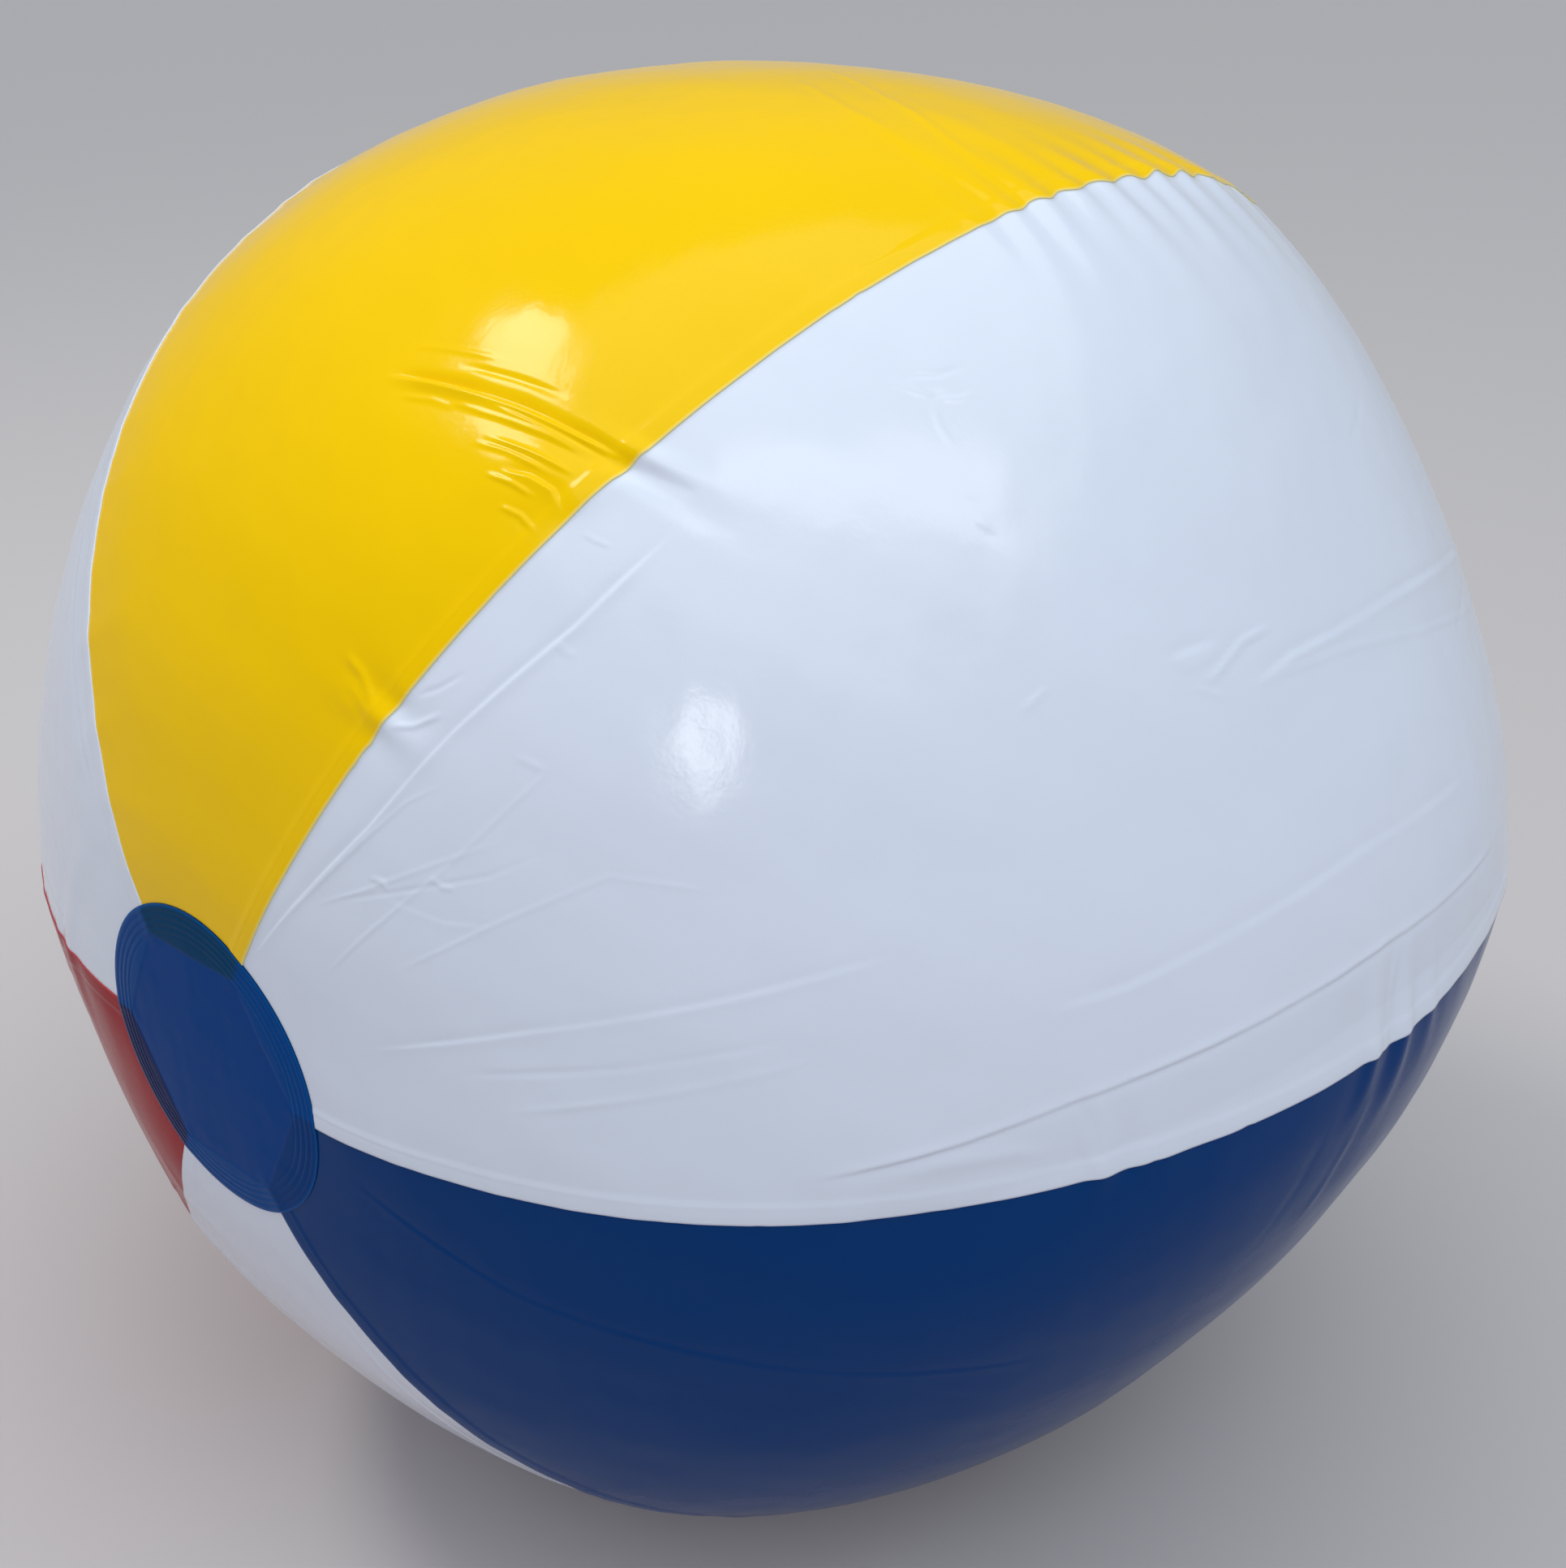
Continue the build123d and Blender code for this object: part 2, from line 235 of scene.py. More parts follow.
# Facets where the film bends along a pack crease: sideways direction, drop and run in
# millimetres, then the crease as (polar angle, azimuth) in degrees.
FACETS = [
    (1, 1.3, 14, [(40, 86.6), (53, 85.0), (60, 83.9), (70, 83.4), (85, 82.9), (112, 84)]),
    (-1, 0.22, 12, [(12, 33.0), (20, 35.6), (27, 36.9), (35, 36.4), (44, 36.8), (56, 36.0)]),
    (1, 0.30, 10, [(72, 63.4), (88, 63.0), (98, 63.4), (113, 64.4), (132, 65)]),
]
# Lengthwise pack creases on the panels that are mostly out of view, and nicks everywhere.
for middle in PANELS.values():
    seen = middle in (60, 0)
    for side in (-23.4, 23.6):
        if not seen and middle != 120:
            a = middle + side
            wobble = rng.uniform(-0.7, 0.7, 5)
            line = [(t, a + w) for t, w in zip((20, 52, 88, 125, 158), wobble)]
            CREASES.append(("step", float(rng.uniform(0.12, 0.22)), 0.8, line))
    for _ in range(6 if seen or middle == 120 else 16):
        t = rng.uniform(102 if seen else 24, 150)
        a = middle + rng.uniform(-20, 20)
        turn = rng.uniform(-0.5, 0.5)
        size = rng.uniform(3, 10)
        line = [(t + i * size * math.cos(turn), a + i * size * math.sin(turn)) for i in (-1, 0, 1)]
        line[1] = (line[1][0] + rng.uniform(-0.7, 0.7), line[1][1] + rng.uniform(-0.7, 0.7))
        kind = ("ridge", "step", "groove")[int(rng.integers(3))]
        CREASES.append((kind, float(rng.uniform(0.08, 0.22)), float(rng.uniform(0.8, 1.4)), line))

# Pinched dents: polar angle, azimuth, depth, half-width.
DENTS = [(68.6, 38.2, 0.16, 1.6), (66.6, 47.2, 0.08, 1.2), (57, 6, 0.08, 1.8), (43, 61, 0.05, 1.5)]
# Faint waviness of the whole film: wave over the unit sphere, phase, height in millimetres.
RIPPLES = [
    (rng.normal(size=3) * 17, rng.uniform(0, 6.3), 0.05 * rng.uniform(0.5, 1.0)) for _ in range(14)
]
RIPPLES += [
    (rng.normal(size=3) * 42, rng.uniform(0, 6.3), 0.016 * rng.uniform(0.5, 1.0))
    for _ in range(18)
]


def seam_wander(theta, seam):
    """Sideways waver of a seam line, in radians of azimuth."""
    k = seam / 30.0
    wave = 0.0012 * np.sin(7 * theta + k) + 0.0007 * np.sin(19 * theta + 2 * k)
    if seam == 30:
        scallop = np.sin((theta - 1.42) * 104 + 1.3 * np.sin(theta * 17))
        wave = wave + 0.0036 * smooth(1.36, 1.5, theta) * scallop
    return wave * np.sin(theta) ** 2


def crease_height(points, kind, height, width, theta, azimuth):
    """Height in millimetres of one crease over the given film points."""
    line = np.radians(np.array(points, float))
    mid_t = line[:, 0].mean()
    mid_a = line[:, 1].mean()
    scale = mean_radius * 1000
    out = np.zeros_like(theta)
    span = np.ptp(line[:, 0]) + np.ptp(line[:, 1]) + 0.08
    near = (np.abs(theta - mid_t) < span) & (np.abs(wrap(azimuth - mid_a)) < span)
    if not near.any():
        return out
    px = wrap(azimuth[near] - mid_a) * np.sin(theta[near]) * scale
    py = (theta[near] - mid_t) * scale
    lx = (line[:, 1] - mid_a) * np.sin(line[:, 0]) * scale
    ly = (line[:, 0] - mid_t) * scale
    best = np.full(px.shape, 1e9)
    side = np.zeros(px.shape)
    along = np.zeros(px.shape)
    lengths = np.hypot(np.diff(lx), np.diff(ly))
    total = lengths.sum()
    run = 0.0
    for i, length in enumerate(lengths):
        dx = (lx[i + 1] - lx[i]) / length
        dy = (ly[i + 1] - ly[i]) / length
        t = np.clip((px - lx[i]) * dx + (py - ly[i]) * dy, 0, length)
        ox = px - lx[i] - t * dx
        oy = py - ly[i] - t * dy
        d = np.hypot(ox, oy)
        better = d < best
        best = np.where(better, d, best)
        side = np.where(better, np.sign(ox * dy - oy * dx), side)
        along = np.where(better, run + t, along)
        run += length
    fade = min(0.3 * total, 14.0)
    taper = smooth(0, fade, along) * smooth(0, fade, total - along)
    taper = taper * (0.78 + 0.16 * np.sin(along / 9.0 + height * 40) + 0.06 * np.sin(along / 2.7))
    x = best / width
    if kind == "step":
        shape = side * np.tanh(1.6 * x) * np.exp(-((x / 3.2) ** 2))
    elif kind == "ridge":
        shape = np.exp(-(x**2)) - 0.3 * np.exp(-((x / 2.4) ** 2))
    else:
        shape = -np.exp(-(x**2)) + 0.3 * np.exp(-((x / 2.4) ** 2))
    out[near] = height * shape * taper
    return out


def facet_height(line, direction, drop, run, theta, azimuth):
    """Height in millimetres of a strip of film bent inward along one side of a crease."""
    places = np.radians(np.array(line, float))
    crease = np.interp(theta, places[:, 0], places[:, 1])
    away = direction * wrap(azimuth - crease) * np.sin(theta) * mean_radius * 1000
    ramp = np.clip(0.5 * (away + np.hypot(away, 0.7)) / run, 0, 1)
    back = 1 - smooth(run, 3.2 * run, away)
    ends = smooth(places[0, 0], places[0, 0] + 0.2, theta)
    ends = ends * (1 - smooth(places[-1, 0] - 0.25, places[-1, 0], theta))
    return -drop * ramp * back * ends


def wrinkles(theta, azimuth):
    """Height of all wrinkles in metres at film points (polar angle, azimuth)."""
    scale = mean_radius * 1000
    out = np.zeros_like(theta)
    for seam, place, height, width, before, after, slant in PUCKERS:
        w = wrap(azimuth - math.radians(seam)) * np.sin(theta) * scale
        s = (theta - math.radians(place)) * scale - slant * w
        reach = np.where(w < 0, before, after)
        x = s / (width * (1 + 0.5 * np.abs(w) / reach))
        fade = np.exp(-((np.abs(w) / reach) ** 1.7))
        out += height * fade * (np.exp(-(x**2)) - 0.42 * np.exp(-((x / 1.9) ** 2)))
    for kind, height, width, points in CREASES:
        out += crease_height(points, kind, height, width, theta, azimuth)
    for direction, drop, run, line in FACETS:
        out += facet_height(line, direction, drop, run, theta, azimuth)
    for t, a, height, width in DENTS:
        x = wrap(azimuth - math.radians(a)) * np.sin(theta) * scale
        y = (theta - math.radians(t)) * scale
        d = np.hypot(x, y) / width
        star = 1 + 0.6 * np.cos(5 * np.arctan2(y, x))
        out -= height * star * np.exp(-(d**2)) * smooth(0, 0.4, d + 0.15)
    s = np.sin(theta)
    unit = np.stack([s * np.sin(azimuth), -np.cos(theta), s * np.cos(azimuth)], -1)
    for wave, phase, height in RIPPLES:
        out += height * np.sin(unit @ wave + phase)
    # wrinkles die out under the end discs
    calm = smooth(0.19, 0.26, theta) * smooth(0.19, 0.26, math.pi - theta)
    return out * calm * mm


def film_point(theta, azimuth, level, lift):
    """Point at a lift over the film's outer face, both in metres along the radius."""
    r = level + lift
    s = np.sin(theta)
    p = np.stack([r * s * np.sin(azimuth), -r * np.cos(theta), r * s * np.cos(azimuth)], -1)
    # weld ring of the valve standing under the film
    v = p - VO
    d = np.hypot(v @ VX, v @ VY)
    close = (v @ VN > -0.02) & (d < 0.03)
    groove_pitch = 1.6 * mm
    grooves = np.cos((d - 12.5 * mm) * 2 * math.pi / groove_pitch)
    ring = smooth(20.5 * mm, 18.8 * mm, d) * (0.35 + 0.10 * grooves)
    p = p + np.where(close, ring * mm, 0.0)[..., None] * VN
    # flat patch where the ball stands
    depth = floor_z + 0.02 * mm - lift * 0.2
    bend = 0.6 * mm
    z = p[..., 2]
    flat = np.where(z < -0.15, bend * np.logaddexp(z / bend, depth / bend), z)
    p[..., 2] = flat
    return p


# ------------------------------------------------------------------ mesh helpers
def mesh_object(name, verts, faces):
    """Smooth-shaded mesh from lists of points and faces."""
    mesh = bpy.data.meshes.new(name)
    mesh.from_pydata([tuple(v) for v in verts], [], faces)
    mesh.validate()
    mesh.update()
    mesh.polygons.foreach_set("use_smooth", [True] * len(mesh.polygons))
    obj = bpy.data.objects.new(name, mesh)
    bpy.context.scene.collection.objects.link(obj)
    return obj


def grid_object(name, verts, quads):
    """Fast mesh from numpy arrays of points and quads."""
    mesh = bpy.data.meshes.new(name)
    mesh.vertices.add(len(verts))
    mesh.vertices.foreach_set("co", np.asarray(verts, np.float32).ravel())
    mesh.loops.add(len(quads) * 4)
    mesh.loops.foreach_set("vertex_index", np.asarray(quads, np.int32).ravel())
    mesh.polygons.add(len(quads))
    mesh.polygons.foreach_set("loop_start", np.arange(0, len(quads) * 4, 4, dtype=np.int32))
    mesh.polygons.foreach_set("use_smooth", np.ones(len(quads), bool))
    mesh.update(calc_edges=True)
    mesh.validate()
    obj = bpy.data.objects.new(name, mesh)
    bpy.context.scene.collection.objects.link(obj)
    return obj


def shell(outer, inner):
    """Closed sheet between two grids of points of the same size."""
    n, m = outer.shape[:2]
    verts = np.concatenate([outer.reshape(-1, 3), inner.reshape(-1, 3)])
    i, j = np.meshgrid(np.arange(n - 1), np.arange(m - 1), indexing="ij")
    a = (i * m + j).ravel()
    top = np.stack([a, a + 1, a + m + 1, a + m], -1)
    off = n * m
    low = top[:, ::-1] + off
    edge = np.concatenate(
        [
            np.arange(m),
            np.arange(1, n) * m + m - 1,
            (n - 1) * m + np.arange(m - 2, -1, -1),
            np.arange(n - 2, 0, -1) * m,
        ]
    )
    nxt = np.roll(edge, -1)
    rim = np.stack([edge, edge + off, nxt + off, nxt], -1)
    return verts, np.concatenate([top, low, rim])


# ------------------------------------------------------------------ gore panels
LAP_UNDER = 5.0 * mm  # how far each gore runs on under its neighbour
LAP_OVER = 2.2 * mm  # strip beside the free edge that has its own columns
tip_opening = 28.6 * mm  # from the axis to the straight cut of a gore's tip
tip_start = tip_opening / pole
# Rows and columns of each panel's mesh, and where they crowd together: (place, half-width,
# gain), rows by polar angle in degrees, columns by share of the panel's width.
MESHES = {
    "panel_yellow": (840, 310, [(49.5, 4.5, 2.0)], [(0.84, 0.16, 1.5)]),
    "panel_white_right": (
        760,
        290,
        [(50, 4, 0.8), (30, 6, 0.6)],
        [(0.08, 0.1, 1.0), (0.92, 0.1, 0.7)],
    ),
    "panel_blue": (480, 200, [], []),
}


def spread(start, end, count, peaks):
    """Places from start to end, closer together round the peaks."""
    x = np.linspace(start, end, 2000)
    density = np.ones_like(x)
    for place, half_width, gain in peaks:
        density += gain * np.exp(-(((x - place) / half_width) ** 2))
    total = np.concatenate([[0.0], np.cumsum((density[1:] + density[:-1]) / 2)])
    return np.interp(np.linspace(0, total[-1], count), total, x)


def build_panel(name, middle):
    """One gore with its wrinkles: it runs under its left neighbour and over its right one."""
    n, m, row_peaks, column_peaks = MESHES.get(name, (360, 150, [], []))
    # rows run from the front tip to the back tip
    tip = math.degrees(tip_start)
    theta = np.radians(spread(tip, 180 - tip, n, row_peaks))[:, None]
    ring = mean_radius * np.sin(theta)
    left = math.radians(middle - 30) + seam_wander(theta, (middle - 30) % 360)
    right = math.radians(middle + 30) + seam_wander(theta, (middle + 30) % 360)
    # columns: a few under the lap, an even spread, a few at the free edge
    u = spread(0, 1, m - 10, column_peaks)
    cols = []
    for k in (1.0, 0.8, 0.55, 0.3, 0.12):
        cols.append(left - k * LAP_UNDER / ring)
    for k in u:
        cols.append(left * (1 - k) + (right - LAP_OVER / ring) * k)
    for k in (-1.4, -0.6, 0.0, 0.35, 0.8):
        cols.append(right + k * mm / ring)
    azimuth = np.concatenate(cols, 1)
    theta = np.broadcast_to(theta, azimuth.shape)
    # the tips are cut straight across
    slant = tip_start / np.cos(wrap(azimuth * 6) / 6) - tip_start
    slant_end = 0.30
    near_tip = 1 - smooth(tip_start, slant_end, theta)
    far_tip = 1 - smooth(tip_start, slant_end, math.pi - theta)
    theta = theta + slant * (near_tip - far_tip)
    ring = np.broadcast_to(ring, azimuth.shape)
    from_left = (azimuth - left) * ring
    from_right = (azimuth - right) * ring
    # the free edge rides up over the neighbour, the other edge dips under it
    lap_up, lap_down = 0.25 * mm, 0.27 * mm
    up = lap_up * smooth(-5.0 * mm, -2.5 * mm, from_right)
    down = -lap_down * (1 - smooth(-1.4 * mm, 0.5 * mm, from_left))
    # the weld band is pressed slightly into both films
    weld = -0.06 * mm * np.exp(-(((from_right + 2.4 * mm) / (0.5 * mm)) ** 2))
    # small burrs on the cut edge
    burr = np.zeros(n)
    for t in rng.uniform(25, 150, 14):
        burr += rng.uniform(-0.25, 0.35) * np.exp(
            -(((np.degrees(theta[:, 0]) - t) / 0.35) ** 2)
        )
    curl = 0.04 * mm * smooth(-0.3 * mm, 0.8 * mm, from_right) * (1 + burr[:, None])
    azimuth = azimuth + burr[:, None] * mm / ring * smooth(-1.0 * mm, 0.8 * mm, from_right)
    lift = up + down + weld + curl
    level = base_radius(theta, azimuth) + wrinkles(theta, azimuth)
    outer = film_point(theta, azimuth, level, lift)
    thin = film * np.where(from_right > 0.4 * mm, 0.6, 1.0)
    inner = film_point(theta, azimuth, level, lift - thin)
    verts, quads = shell(outer, inner)
    panel = grid_object("visual_" + name, verts, quads)
    # the free cut edge gets a paler colour, a painted highlight along the edge
    cut = smooth(0.2 * mm, 0.6 * mm, from_right).ravel()
    layer = panel.data.attributes.new("painted_edge_highlight", "FLOAT", "POINT")
    layer.data.foreach_set("value", np.concatenate([cut, cut]).astype(np.float32))
    return panel


# ------------------------------------------------------------------ end discs
def polar_level(rho, azimuth):
    """Height of the film over the equator plane at a distance from the polar axis."""
    # the film's polar angle depends on that height, so it is found step by step
    y = np.full_like(rho, pole)
    for _ in range(8):
        theta = np.arctan2(rho, y)
        y = base_radius(theta, azimuth) * np.cos(theta)
    return y


def build_disc(name, side):
    """End disc with its pressed weld rings; side is -1 at the front and 1 at the back."""
    tip_share = 0.72  # where the step over the gore tips shows, as a share of the radius
    rings = 150
    turns = 288
    r = np.concatenate([[0.0], np.linspace(0.01, 0.97, rings), [0.98, 0.99, 0.996, 1.0, 1.0]])
    a = np.linspace(0, 2 * math.pi, turns, endpoint=False)
    rr, aa = np.meshgrid(r, a, indexing="ij")
    rho = rr * disc_radius
    h = 0.40 * mm + 0.22 * mm * (1 - rr**2)
    for place, deep in ((0.950, 0.07), (0.905, 0.09), (0.860, 0.09), (0.815, 0.07)):
        h = h - deep * mm * np.exp(-(((rr - place) / 0.007) ** 2))
        h = h + 0.6 * deep * mm * np.exp(-(((rr - place - 0.014) / 0.009) ** 2))
    # gore tips and lap seams showing through
    across = wrap(aa * 6) / 6
    lap = wrap((aa - math.radians(30)) * 6) / 6
    h = h + 0.14 * mm * np.exp(-((lap * rho / (2.2 * mm)) ** 2)) * smooth(0.70, 0.80, rr)
    tip = disc_radius * tip_share / np.maximum(np.cos(across), 0.5)
    h = h - 0.10 * mm * smooth(tip + 0.7 * mm, tip - 0.7 * mm, rho)
    noise = 0
    for wave, phase, height in RIPPLES:
        noise = noise + height * np.sin(
            (rr * np.sin(aa)) * wave[0] * 0.4 + (rr * np.cos(aa)) * wave[2] * 0.4 + phase
        )
    h = h + 0.5 * noise * mm * smooth(1.0, 0.8, rr)
    # rounded free edge
    h = h - 0.10 * mm * smooth(0.985, 1.0, rr)
    level = polar_level(rho, aa)
    outer = np.stack([rho * np.sin(aa), side * (level + h), rho * np.cos(aa)], -1)
    low = np.where(rr > 0.70, 0.0, -0.16 * mm) + 0.02 * mm
    low = np.minimum(low, h - 0.2 * mm)
    inner = np.stack([rho * np.sin(aa), side * (level + low), rho * np.cos(aa)], -1)
    n, m = rr.shape
    verts = [outer[0, 0]]
    verts.extend(outer[1:].reshape(-1, 3))
    off = len(verts)
    verts.append(inner[0, 0])
    verts.extend(inner[1:].reshape(-1, 3))
    faces = []
    for j in range(m):
        k = (j + 1) % m
        faces.append((0, 1 + j, 1 + k))
        faces.append((off, off + 1 + k, off + 1 + j))
    for i in range(n - 2):
        for j in range(m):
            k = (j + 1) % m
            p, q = 1 + i * m + j, 1 + i * m + k
            faces.append((p, p + m, q + m, q))
            faces.append((off + p, off + q, off + q + m, off + p + m))
    base = 1 + (n - 2) * m
    for j in range(m):
        k = (j + 1) % m
        faces.append((base + j, off + base + j, off + base + k, base + k))
    if side > 0:
        faces = [f[::-1] for f in faces]
    obj = mesh_object("visual_" + name, verts, faces)
    # colour of the clear blue film over what lies under it; the lighter middle is painted glow of light
    # through the ball, and a lighter blue ring at the edge is a painted highlight
    colours = {
        0: (0.0002, 0.044, 0.125),
        60: (0.0002, 0.054, 0.240),
        120: (0.0002, 0.040, 0.185),
        180: (0.0002, 0.056, 0.245),
        240: (0.0060, 0.014, 0.085),
        300: (0.0002, 0.054, 0.235),
    }
    # lighter middle: painted glow of light shining through the ball
    glowing_middle_tint = np.array((0.0002, 0.047, 0.228))
    # lighter blue at the edge: painted highlight
    rim_highlight_tint = np.array((0.0030, 0.090, 0.340))
    co = np.array([v.co for v in obj.data.vertices])
    ang = np.degrees(np.arctan2(co[:, 0], co[:, 2])) % 360
    rho = np.hypot(co[:, 0], co[:, 2])
    tint = np.zeros((len(co), 4))
    tint[:, 3] = 1
    panel = (np.round(ang / 60).astype(int) * 60) % 360
    around = np.abs(ang - np.round(ang / 60) * 60)
    tip = disc_radius * tip_share / np.cos(np.radians(around))
    mix = smooth(-0.5 * mm, 0.5 * mm, rho - tip)[:, None]
    body = np.array([colours[int(k)] for k in panel])
    # ring at the edge where the painted highlight colour is mixed in
    rim = 0.7 * smooth(0.978, 0.996, rho / disc_radius)[:, None]
    tint[:, :3] = (glowing_middle_tint * (1 - mix) + body * mix) * (1 - rim) + rim_highlight_tint * rim
    # attribute with the underlay colours, the painted glow and the painted highlight
    layer = obj.data.color_attributes.new("underlay_glow_highlight", "FLOAT_COLOR", "POINT")
    layer.data.foreach_set("color", tint.astype(np.float32).ravel())
    return obj


# ------------------------------------------------------------------ the valve
def valve_point(x, y, z):
    """Row-frame point from valve coordinates in millimetres: down the slope, across, outward."""
    x, y, z = np.broadcast_arrays(np.asarray(x, float), np.asarray(y, float), np.asarray(z, float))
    return VO + mm * (x[..., None] * VX + y[..., None] * VY + z[..., None] * VN)


def film_level(x, y):
    """Height of the panel's outer face over the valve plane, in millimetres."""
    # found step by step, because a point's place on the ball changes with its height
    z = np.zeros_like(np.asarray(x, float))
    for _ in range(12):
        p = valve_point(x, y, z)
        r = np.linalg.norm(p, axis=-1)
        theta = np.arccos(-p[..., 1] / r)
        azimuth = np.arctan2(p[..., 0], p[..., 2])
        q = base_radius(theta, azimuth)
        z = z + (q - r) * 1000
    return z


def fillet(points, radius, steps=4):
    """Rounds the corners of a closed (r, z) outline; radius is one number or one per corner."""
    n = len(points)
    radii = radius if isinstance(radius, (list, tuple)) else [radius] * n
    out = []
    for i in range(n):
        p = Vector(points[i])
        a = Vector(points[i - 1]) - p
        b = Vector(points[(i + 1) % n]) - p
        cut = min(radii[i], a.length * 0.45, b.length * 0.45)
        if cut < 1e-4:
            out.append(tuple(p))
            continue
        s = p + a.normalized() * cut
        e = p + b.normalized() * cut
        for k in range(steps + 1):
            t = k / steps
            out.append(tuple((1 - t) ** 2 * s + 2 * t * (1 - t) * p + t**2 * e))
    return out


def lathe(name, outline, turns=96, shape=None):
    """Closed ring or solid turned about the valve's axis; outline is (r, z) in millimetres."""
    turns = turns
    a = np.linspace(0, 2 * math.pi, turns, endpoint=False)
    verts = []
    faces = []
    index = []
    for r, z in outline:
        if r < 1e-6:
            index.append([len(verts)] * turns)
            verts.append(tuple(valve_point(0, 0, z)))
            continue
        x, y = r * np.cos(a), r * np.sin(a)
        zz = np.full(turns, float(z))
        if shape is not None:
            x, y, zz = shape(x, y, zz)
        pts = valve_point(x, y, zz)
        index.append(list(range(len(verts), len(verts) + turns)))
        verts.extend(map(tuple, pts))
    n = len(outline)
    for i in range(n):
        one, two = index[i], index[(i + 1) % n]
        for j in range(turns):
            k = (j + 1) % turns
            face = []
            for v in (one[j], two[j], two[k], one[k]):
                if v not in face:
                    face.append(v)
            if len(face) > 2:
                faces.append(face)
    return fix_normals(mesh_object(name, verts, faces))


def fix_normals(obj):
    """Turns all faces outward."""
    bm = bmesh.new()
    bm.from_mesh(obj.data)
    bmesh.ops.recalc_face_normals(bm, faces=bm.faces)
    bm.to_mesh(obj.data)
    bm.free()
    return obj


def prism(name, outline, low, high, axis="z", edge=0.25):
    """Solid with rounded edges from an outline in valve millimetres, between two levels."""
    bm = bmesh.new()
    put = {"z": lambda a, b, c: (a, b, c), "y": lambda a, b, c: (a, c, b)}[axis]
    ends = [[bm.verts.new(put(a, b, c)) for a, b in outline] for c in (low, high)]
    bm.faces.new(ends[0])
    bm.faces.new(ends[1])
    n = len(outline)
    for i in range(n):
        bm.faces.new((ends[0][i], ends[0][(i + 1) % n], ends[1][(i + 1) % n], ends[1][i]))
    bmesh.ops.recalc_face_normals(bm, faces=bm.faces)
    sharp_angle = 0.6
    sharp = [e for e in bm.edges if len(e.link_faces) == 2 and e.calc_face_angle() > sharp_angle]
    bmesh.ops.bevel(
        bm, geom=sharp, offset=edge, segments=3, profile=0.6, affect="EDGES", clamp_overlap=True
    )
    for v in bm.verts:
        v.co = Vector(valve_point(v.co.x, v.co.y, v.co.z))
    mesh = bpy.data.meshes.new(name)
    bm.to_mesh(mesh)
    bm.free()
    mesh.polygons.foreach_set("use_smooth", [True] * len(mesh.polygons))
    obj = bpy.data.objects.new(name, mesh)
    bpy.context.scene.collection.objects.link(obj)
    return obj


def joined(first, *rest):
    """Unites overlapping solids into one closed mesh."""
    for other in rest:
        mod = first.modifiers.new("unite", "BOOLEAN")
        mod.operation = "UNION"
        mod.solver = "EXACT"
        mod.object = other
        apply_modifiers(first)
        bpy.data.objects.remove(other)
    return first


def apply_modifiers(obj):
    """Keeps the result of an object's modifiers as its mesh."""
    bpy.context.view_layer.update()
    got = obj.evaluated_get(bpy.context.evaluated_depsgraph_get())
    mesh = bpy.data.meshes.new_from_object(got)
    obj.modifiers.clear()
    old = obj.data
    obj.data = mesh
    bpy.data.meshes.remove(old)
    return obj


def arc_outline(radius, start, end, steps, cx=0.0, cy=0.0):
    """Points of an arc between two angles in degrees."""
    a = np.radians(np.linspace(start, end, steps))
    return [(cx + radius * math.cos(t), cy + radius * math.sin(t)) for t in a]


